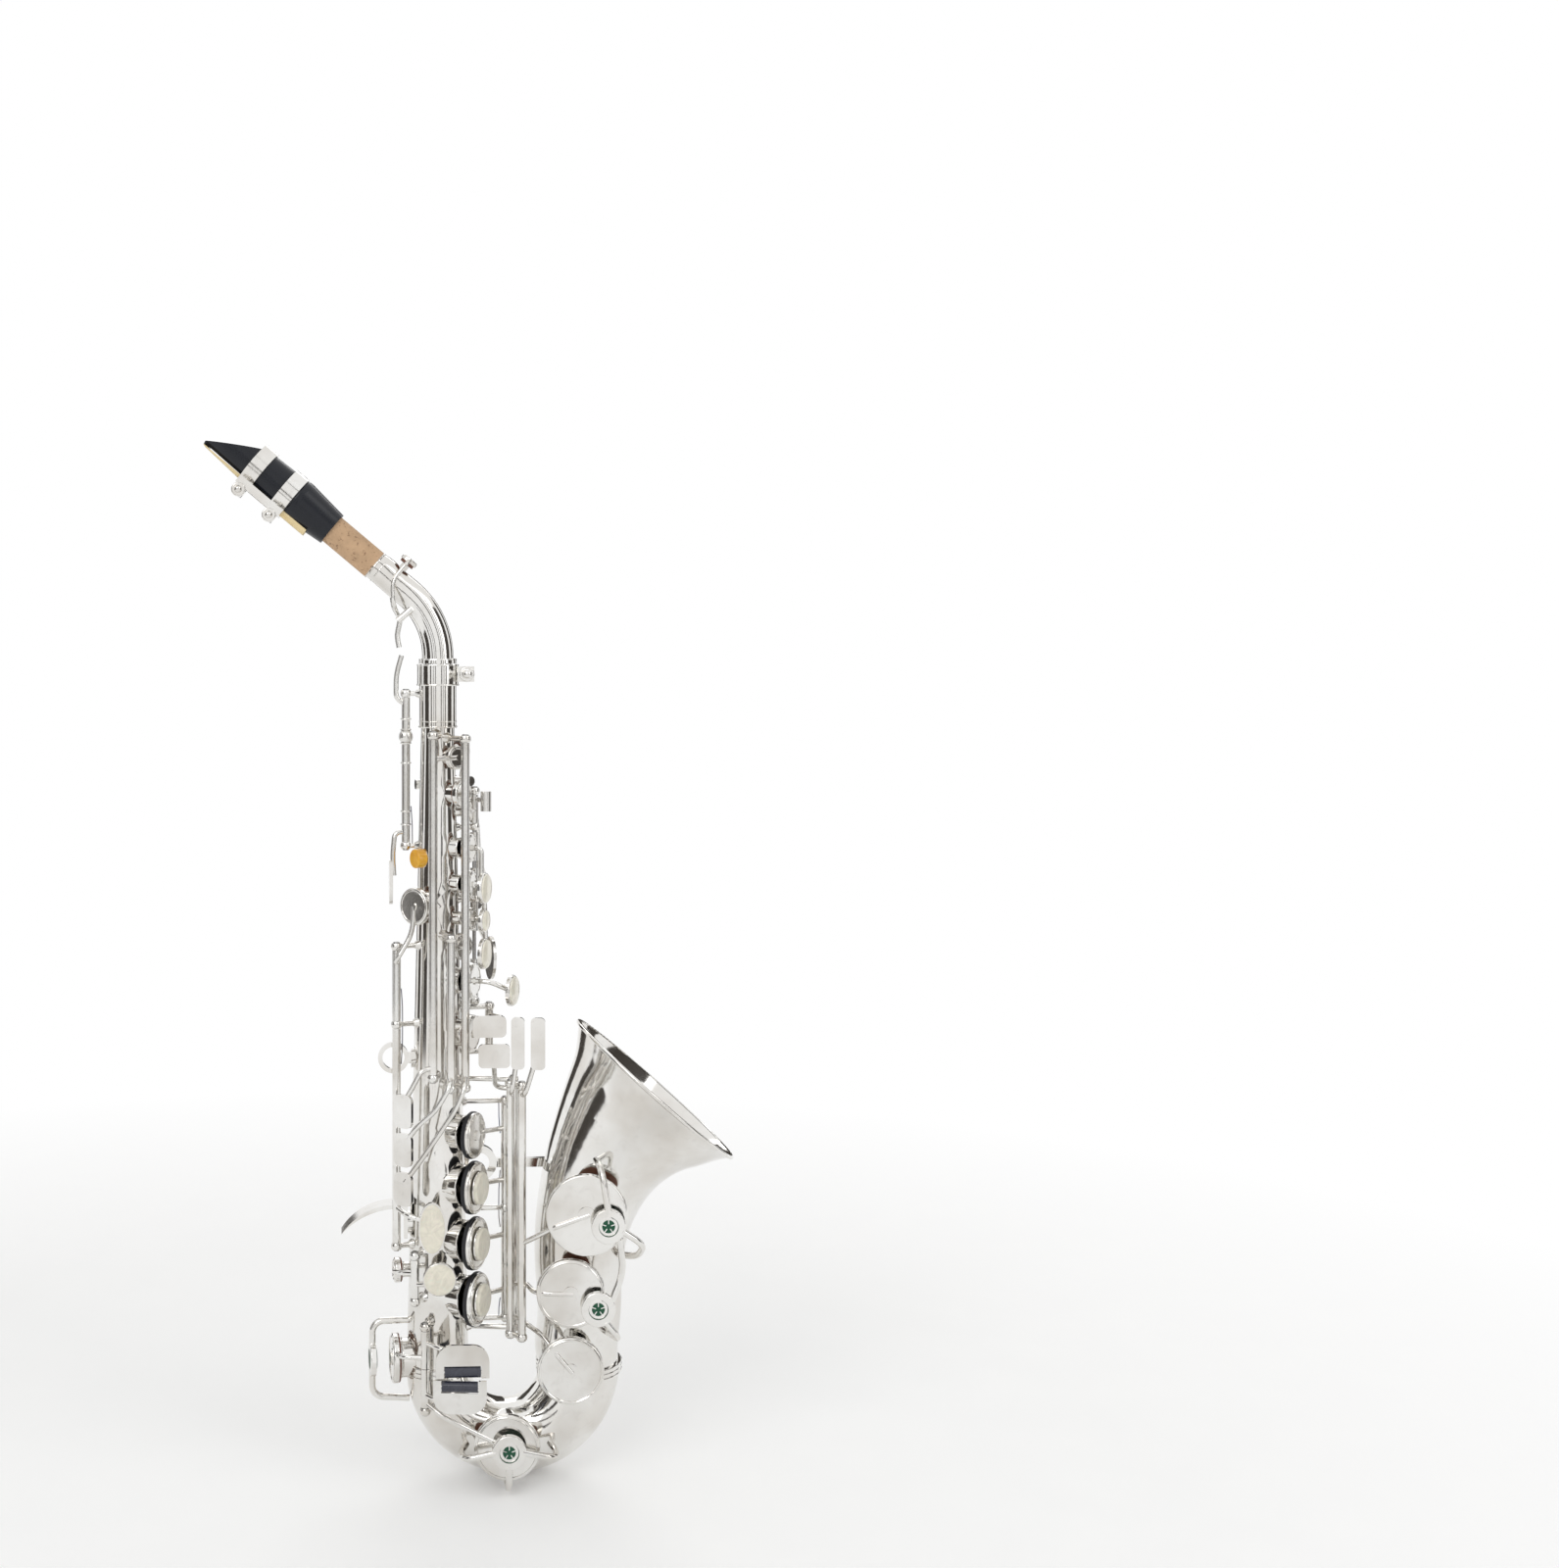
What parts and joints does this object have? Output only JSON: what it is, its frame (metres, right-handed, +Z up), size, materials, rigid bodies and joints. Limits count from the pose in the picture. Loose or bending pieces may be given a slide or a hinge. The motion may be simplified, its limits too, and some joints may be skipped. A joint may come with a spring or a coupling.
{
  "type": "curved soprano saxophone",
  "caption": "Curved soprano saxophone with moving padded keys, a turning neck, a sliding mouthpiece with reed and ligature, a strap ring and a thumb hook.",
  "frame": {"origin": "centre of the strap ring's hole", "axes": "+Z up the body tube from bow to neck, +X from the body tube to the bell, -Y to the side of the right-hand side keys"},
  "size_m": [0.2407, 0.0932, 0.4684],
  "materials": {
    "silver_plate": "mirror polished silver plate over brass",
    "steel_rod": "polished steel",
    "ebonite": "polished black hard rubber",
    "cane": "shaved cane",
    "cork": "waxed cork with dark flecks",
    "pad_leather": "smooth brown leather",
    "pearl": "cream mother of pearl",
    "green_felt": "dense green felt",
    "black_roller": "polished black",
    "amber_disc": "translucent amber"
  },
  "bodies": {
    "horn": {"body_tube": "silver_plate", "bow": "silver_plate", "bell": "silver_plate", "bow_rings": "silver_plate", "neck_receiver": "silver_plate", "bell_brace": "silver_plate", "key_posts": "silver_plate", "hinge_rods": "steel_rod", "strap_ring": "silver_plate", "thumb_hook": "silver_plate", "thumb_rest": "amber_disc", "bell_key_guard": "silver_plate", "c_key_guard": "silver_plate", "e_flat_guard": "silver_plate", "guard_felts": "green_felt"},
    "neck": {"neck_tube": "silver_plate", "neck_cork": "cork"},
    "neck_octave": {"neck_octave_key": "silver_plate", "neck_octave_pad": "pad_leather"},
    "neck_screw": {"neck_screw": "silver_plate"},
    "mouthpiece": {"mouthpiece": "ebonite", "reed": "cane", "ligature": "silver_plate"},
    "ligature_screw_front": {"ligature_screw_2": "silver_plate"},
    "ligature_screw_rear": {"ligature_screw_1": "silver_plate"},
    "d": {"d_key": "silver_plate", "d_pad": "pad_leather", "d_pearl": "pearl"},
    "e": {"e_key": "silver_plate", "e_pad": "pad_leather", "e_pearl": "pearl"},
    "f": {"f_key": "silver_plate", "f_pad": "pad_leather", "f_pearl": "pearl"},
    "f_sharp": {"f_sharp_key": "silver_plate", "f_sharp_pad": "pad_leather"},
    "b": {"b_key": "silver_plate"},
    "a": {"a_key": "silver_plate"},
    "bis": {"bis_key": "silver_plate"},
    "g": {"g_key": "silver_plate"},
    "g_sharp": {"g_sharp_key": "silver_plate"},
    "low_b_flat": {"low_b_flat_key": "silver_plate"},
    "low_b": {"low_b_key": "silver_plate"},
    "c_sharp": {"c_sharp_key": "silver_plate"},
    "e_flat": {"e_flat_key": "silver_plate"},
    "e_flat_roller": {"e_flat_roller": "black_roller"},
    "low_c": {"low_c_key": "silver_plate"},
    "low_c_roller": {"low_c_roller": "black_roller"},
    "side_e": {"side_e_key": "silver_plate"},
    "side_c": {"side_c_key": "silver_plate"},
    "side_b_flat": {"side_b_flat_key": "silver_plate"},
    "high_f_sharp": {"high_f_sharp_key": "silver_plate"},
    "high_f_sharp_lever": {"high_f_sharp_lever": "silver_plate"},
    "trill": {"trill_key": "silver_plate"},
    "palm_d": {"palm_d_key": "silver_plate"},
    "palm_e_flat": {"palm_e_flat_key": "silver_plate"},
    "palm_f": {"palm_f_key": "silver_plate"},
    "front_f": {"front_f_key": "silver_plate"},
    "octave_lever": {"octave_lever": "silver_plate"}
  },
  "joints": [
    {"name": "d_swing", "type": "hinge", "parent": "horn", "child": "d", "pos_m": [0.0512, 0.002, -0.07], "axis": [0, 0, 1], "range_deg": [-7, 0], "stiffness_Nm_per_rad": 0.03, "springref_deg": 20.05},
    {"name": "e_swing", "type": "hinge", "parent": "horn", "child": "e", "pos_m": [0.0512, 0.002, -0.07], "axis": [0, 0, 1], "range_deg": [-7, 0], "stiffness_Nm_per_rad": 0.03, "springref_deg": 20.05},
    {"name": "f_swing", "type": "hinge", "parent": "horn", "child": "f", "pos_m": [0.0512, 0.002, -0.07], "axis": [0, 0, 1], "range_deg": [-7, 0], "stiffness_Nm_per_rad": 0.03, "springref_deg": 20.05},
    {"name": "f_sharp_swing", "type": "hinge", "parent": "horn", "child": "f_sharp", "pos_m": [0.0512, 0.002, -0.07], "axis": [0, 0, 1], "range_deg": [-7, 0]},
    {"name": "b_swing", "type": "hinge", "parent": "horn", "child": "b", "pos_m": [0.0372, 0.005, 0.072], "axis": [0, 0, 1], "range_deg": [-7, 0], "stiffness_Nm_per_rad": 0.02, "springref_deg": 20.05},
    {"name": "a_swing", "type": "hinge", "parent": "horn", "child": "a", "pos_m": [0.0372, 0.005, 0.072], "axis": [0, 0, 1], "range_deg": [-7, 0], "stiffness_Nm_per_rad": 0.02, "springref_deg": 20.05},
    {"name": "bis_swing", "type": "hinge", "parent": "horn", "child": "bis", "pos_m": [0.0372, 0.005, 0.072], "axis": [0, 0, 1], "range_deg": [-7, 0], "stiffness_Nm_per_rad": 0.02, "springref_deg": 20.05},
    {"name": "g_swing", "type": "hinge", "parent": "horn", "child": "g", "pos_m": [0.0372, 0.005, 0.072], "axis": [0, 0, 1], "range_deg": [-7, 0], "stiffness_Nm_per_rad": 0.02, "springref_deg": 20.05},
    {"name": "g_sharp_swing", "type": "hinge", "parent": "horn", "child": "g_sharp", "pos_m": [0.0442, 0.008, 0.0115], "axis": [0, 0, 1], "range_deg": [0, 9], "stiffness_Nm_per_rad": 0.03, "springref_deg": -20.05},
    {"name": "low_b_flat_swing", "type": "hinge", "parent": "horn", "child": "low_b_flat", "pos_m": [0.0569, -0.019, -0.066], "axis": [0, 0, 1], "range_deg": [0, 6], "stiffness_Nm_per_rad": 0.05, "springref_deg": -20.05},
    {"name": "low_b_swing", "type": "hinge", "parent": "horn", "child": "low_b", "pos_m": [0.0522, -0.014, -0.066], "axis": [0, 0, 1], "range_deg": [0, 6], "stiffness_Nm_per_rad": 0.05, "springref_deg": -20.05},
    {"name": "c_sharp_swing", "type": "hinge", "parent": "horn", "child": "c_sharp", "pos_m": [0.0542, -0.0055, -0.066], "axis": [0, 0, 1], "range_deg": [-6, 0], "stiffness_Nm_per_rad": 0.05, "springref_deg": 20.05},
    {"name": "e_flat_swing", "type": "hinge", "parent": "horn", "child": "e_flat", "pos_m": [0.0137, -0.0195, -0.135], "axis": [0, 0, 1], "range_deg": [0, 9], "stiffness_Nm_per_rad": 0.04, "springref_deg": -20.05},
    {"name": "low_c_swing", "type": "hinge", "parent": "horn", "child": "low_c", "pos_m": [0.0137, -0.0195, -0.135], "axis": [0, 0, 1], "range_deg": [0, 6], "stiffness_Nm_per_rad": 0.05, "springref_deg": -20.05},
    {"name": "e_flat_roller_spin", "type": "hinge", "parent": "e_flat", "child": "e_flat_roller", "pos_m": [0.0297, -0.0308, -0.13255], "axis": [1, 0, 0], "continuous": true},
    {"name": "low_c_roller_spin", "type": "hinge", "parent": "low_c", "child": "low_c_roller", "pos_m": [0.02843, -0.03241, -0.13845], "axis": [0.9945, -0.1045, 0], "continuous": true},
    {"name": "side_e_swing", "type": "hinge", "parent": "horn", "child": "side_e", "pos_m": [0.0172, -0.019, 0.07], "axis": [0, 0, 1], "range_deg": [-9, 0], "stiffness_Nm_per_rad": 0.03, "springref_deg": 20.05},
    {"name": "side_c_swing", "type": "hinge", "parent": "horn", "child": "side_c", "pos_m": [0.0252, -0.02, 0.023], "axis": [0, 0, 1], "range_deg": [-5, 0], "stiffness_Nm_per_rad": 0.03, "springref_deg": 20.05},
    {"name": "side_b_flat_swing", "type": "hinge", "parent": "horn", "child": "side_b_flat", "pos_m": [0.0317, -0.018, 0.067], "axis": [0, 0, 1], "range_deg": [-6, 0], "stiffness_Nm_per_rad": 0.03, "springref_deg": 20.05},
    {"name": "high_f_sharp_lever_swing", "type": "hinge", "parent": "horn", "child": "high_f_sharp_lever", "pos_m": [0.0012, -0.008, -0.016], "axis": [0, 0, 1], "range_deg": [0, 9], "stiffness_Nm_per_rad": 0.03, "springref_deg": -20.05},
    {"name": "high_f_sharp_swing", "type": "hinge", "parent": "horn", "child": "high_f_sharp", "pos_m": [0.0012, -0.008, -0.016], "axis": [0, 0, 1], "range_deg": [-9, 0]},
    {"name": "trill_swing", "type": "hinge", "parent": "horn", "child": "trill", "pos_m": [0.0092, -0.017, -0.0955], "axis": [0, 0, 1], "range_deg": [0, 9], "stiffness_Nm_per_rad": 0.02, "springref_deg": -20.05},
    {"name": "palm_d_rock", "type": "hinge", "parent": "horn", "child": "palm_d", "pos_m": [0.03113, 0.00765, 0.1255], "axis": [-0.5736, 0.8192, 0], "range_deg": [0, 6], "stiffness_Nm_per_rad": 0.02, "springref_deg": -20.05},
    {"name": "palm_e_flat_rock", "type": "hinge", "parent": "horn", "child": "palm_e_flat", "pos_m": [0.02768, 0.01197, 0.0915], "axis": [-0.848, 0.5299, 0], "range_deg": [0, 7], "stiffness_Nm_per_rad": 0.02, "springref_deg": -20.05},
    {"name": "palm_f_rock", "type": "hinge", "parent": "horn", "child": "palm_f", "pos_m": [0.01787, 0.01318, 0.1235], "axis": [-0.9848, -0.1736, 0], "range_deg": [0, 6], "stiffness_Nm_per_rad": 0.02, "springref_deg": -20.05},
    {"name": "front_f_swing", "type": "hinge", "parent": "horn", "child": "front_f", "pos_m": [0.0372, 0.005, 0.072], "axis": [0, 0, 1], "range_deg": [0, 9], "stiffness_Nm_per_rad": 0.02, "springref_deg": -20.05},
    {"name": "octave_lever_swing", "type": "hinge", "parent": "horn", "child": "octave_lever", "pos_m": [0.0057, 0.001, 0.131], "axis": [0, 0, 1], "range_deg": [0, 8], "stiffness_Nm_per_rad": 0.03, "springref_deg": -20.05},
    {"name": "neck_turn", "type": "hinge", "parent": "horn", "child": "neck", "pos_m": [0.0202, 0, 0.1685], "axis": [0, 0, 1], "range_deg": [-25, 25]},
    {"name": "neck_octave_swing", "type": "hinge", "parent": "neck", "child": "neck_octave", "pos_m": [0.00319, 0, 0.19991], "axis": [0, 1, 0], "range_deg": [0, 6]},
    {"name": "neck_screw_turn", "type": "hinge", "parent": "horn", "child": "neck_screw", "pos_m": [0.0332, 0, 0.1745], "axis": [0, 1, 0], "continuous": true},
    {"name": "mouthpiece_slide", "type": "slide", "parent": "neck", "child": "mouthpiece", "axis": [-0.766, 0, 0.6428], "range_m": [0, 0.01]},
    {"name": "ligature_screw_rear_turn", "type": "hinge", "parent": "mouthpiece", "child": "ligature_screw_rear", "pos_m": [-0.05625, 0, 0.24616], "axis": [0, 1, 0], "continuous": true},
    {"name": "ligature_screw_front_turn", "type": "hinge", "parent": "mouthpiece", "child": "ligature_screw_front", "pos_m": [-0.06989, 0, 0.2576], "axis": [0, 1, 0], "continuous": true}
  ],
  "couplings": [
    {"joint": "f_sharp_swing", "follows": "f_swing", "ratio": 1},
    {"joint": "high_f_sharp_swing", "follows": "high_f_sharp_lever_swing", "ratio": -1},
    {"joint": "neck_octave_swing", "follows": "octave_lever_swing", "ratio": 0.75}
  ]
}
